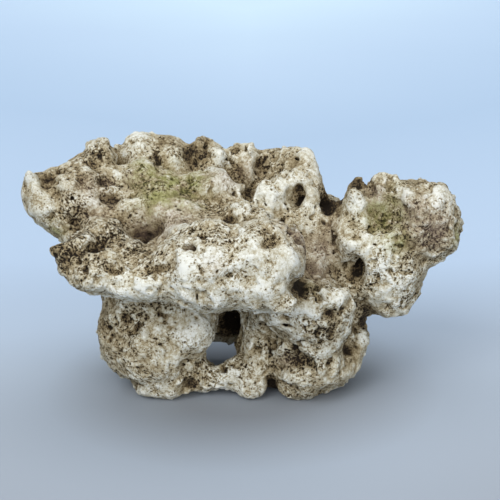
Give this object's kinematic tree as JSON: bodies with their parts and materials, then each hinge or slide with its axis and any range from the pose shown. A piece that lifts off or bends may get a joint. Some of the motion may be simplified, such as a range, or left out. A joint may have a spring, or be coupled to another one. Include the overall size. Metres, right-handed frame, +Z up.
{
  "type": "reef rock",
  "caption": "Piece of porous coral limestone for a marine aquarium: an overhanging shelf on two legs with a tunnel between them, a knobbly rim and a side lobe.",
  "frame": {"origin": "on the surface that the rock rests on, under the middle of its outline", "axes": "+X along the rock's length, towards the side lobe; +Z up; -Y is the front, where the shelf overhangs"},
  "size_m": [0.3218, 0.2126, 0.1848],
  "materials": {
    "coral_limestone": "matt, porous, off-white to tan with green and mauve algae films"
  },
  "bodies": {
    "root": {"reef_rock": "coral_limestone"}
  },
  "joints": []
}
